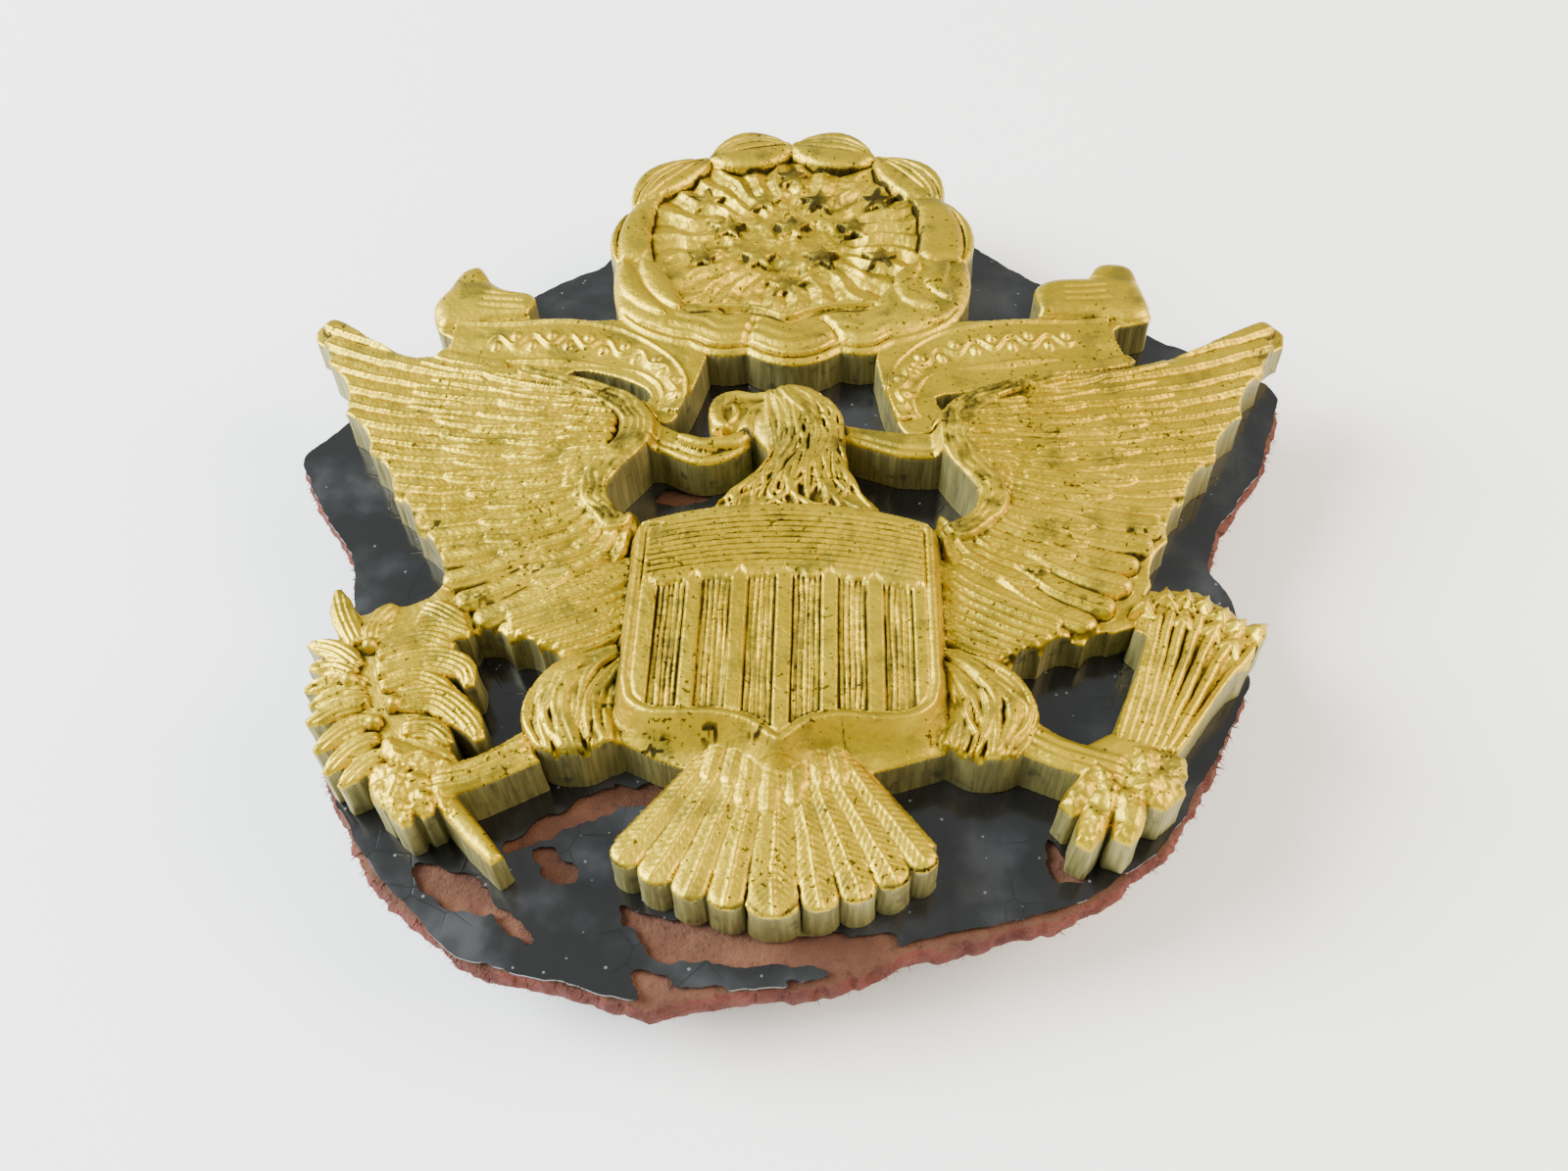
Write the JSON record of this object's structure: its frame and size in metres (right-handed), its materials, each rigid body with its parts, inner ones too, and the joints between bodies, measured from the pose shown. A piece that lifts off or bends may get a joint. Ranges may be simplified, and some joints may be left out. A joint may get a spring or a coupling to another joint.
{
  "type": "peaked cap badge",
  "caption": "Die-struck pierced brass eagle cap badge with shield, cloud ring and scroll, on patent leather, held by a screw post, washer and knurled thumb nut.",
  "frame": {"origin": "middle of the badge's box in X and Y, on the plane of the thumb nut's lower face, on which the badge rests face up", "axes": "+X towards the badge's right as seen from its face, +Y towards the cloud ring at its top, +Z out of its face"},
  "size_m": [0.061, 0.0632, 0.011],
  "materials": {
    "gilt_brass": "die-struck, gilt, satin with rubbed high spots and dark tarnish specks",
    "plain_brass": "turned and stamped, dull with age",
    "solder": "soft solder, dull grey",
    "russet_leather": "vegetable-tanned split, fibrous cut edge",
    "black_patent": "black patent lacquer, glossy, crazed and flaked"
  },
  "bodies": {
    "badge": {"eagle_striking": "gilt_brass", "leather_backing": "russet_leather", "lacquer_film": "black_patent", "threaded_post": "plain_brass", "post_solder": "solder", "upper_locating_pin": "plain_brass", "upper_pin_solder": "solder", "lower_locating_pin": "plain_brass", "lower_pin_solder": "solder"},
    "washer": {"flat_washer": "plain_brass"},
    "nut": {"knurled_nut": "plain_brass"}
  },
  "joints": [
    {"name": "nut_travel", "type": "slide", "parent": "badge", "child": "washer", "axis": [0, 0, -1], "range_m": [0, 0.00275]},
    {"name": "nut_spin", "type": "hinge", "parent": "washer", "child": "nut", "pos_m": [0, -0.00565, 0], "axis": [0, 0, -1], "range_deg": [0, 1620]}
  ],
  "couplings": [
    {"joint": "nut_travel", "follows": "nut_spin", "m_per_rad": 0.000095493}
  ]
}
